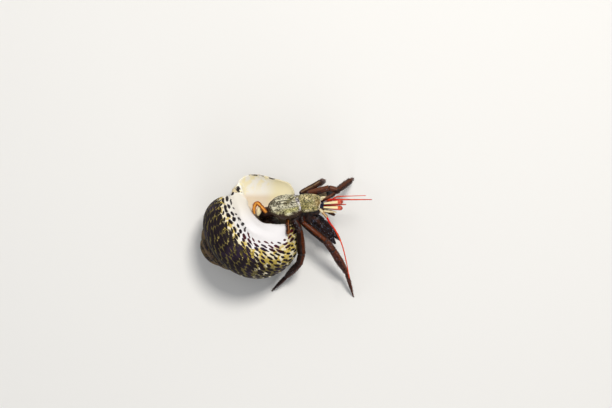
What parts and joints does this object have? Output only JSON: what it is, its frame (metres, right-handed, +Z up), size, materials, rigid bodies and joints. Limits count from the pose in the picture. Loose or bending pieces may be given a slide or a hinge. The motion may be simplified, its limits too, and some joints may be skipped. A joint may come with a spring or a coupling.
{
  "type": "hermit crab in a top shell",
  "caption": "Still, life-size hermit crab leaning out of a chequered top shell that lies mouth up, its walking legs reaching down to the floor.",
  "frame": {"origin": "middle of the model's footprint box, on the floor", "axes": "+X the way the crab faces, +Y the crab's left side, +Z up; metres"},
  "size_m": [0.0433, 0.0318, 0.0207],
  "materials": {
    "shell": "hard chalky shell, chequered dark purple on yellow cream, glossy white inside",
    "carapace": "thin grey-white skin plate with a brown-green network",
    "shield": "hard olive-green plate with dark mottling",
    "soft_body": "soft brown-grey skin",
    "eyestalk": "cream with red-brown lines",
    "eye": "dark glossy eye with an orange-red rim",
    "antenna": "bright red, half clear",
    "leg": "brown-red horn with lengthwise orange-brown and pale stripes",
    "claw": "near-black brown horn with small bluish-white warts",
    "small_leg": "orange-brown horn"
  },
  "bodies": {
    "root": {"abdomen": "soft_body", "antenna_left_base": "antenna", "antenna_left_flagellum": "antenna", "antenna_right_base": "antenna", "antenna_right_flagellum": "antenna", "antennule_left": "antenna", "antennule_right": "antenna", "carapace_rear": "carapace", "carapace_shield": "shield", "claw_left_carpus": "claw", "claw_left_fixed_finger": "claw", "claw_left_merus": "claw", "claw_left_moving_finger": "claw", "claw_left_palm": "claw", "claw_right_carpus": "claw", "claw_right_fixed_finger": "claw", "claw_right_merus": "claw", "claw_right_moving_finger": "claw", "claw_right_palm": "claw", "eye_left": "eye", "eye_right": "eye", "eyestalk_left": "eyestalk", "eyestalk_right": "eyestalk", "head": "soft_body", "leg_2_left_carpus": "leg", "leg_2_left_dactyl": "leg", "leg_2_left_merus": "leg", "leg_2_left_propodus": "leg", "leg_2_right_carpus": "leg", "leg_2_right_dactyl": "leg", "leg_2_right_ischium": "leg", "leg_2_right_merus": "leg", "leg_2_right_propodus": "leg", "leg_3_left_carpus": "leg", "leg_3_left_dactyl": "leg", "leg_3_left_merus": "leg", "leg_3_left_propodus": "leg", "leg_3_right_carpus": "leg", "leg_3_right_dactyl": "leg", "leg_3_right_ischium": "leg", "leg_3_right_merus": "leg", "leg_3_right_propodus": "leg", "leg_4_left": "small_leg", "leg_4_right": "small_leg", "leg_5_left": "small_leg", "leg_5_right": "small_leg", "maxilliped_left": "leg", "maxilliped_right": "leg", "shell_body_whorl": "shell", "shell_spire": "shell", "thorax": "soft_body"}
  },
  "joints": []
}
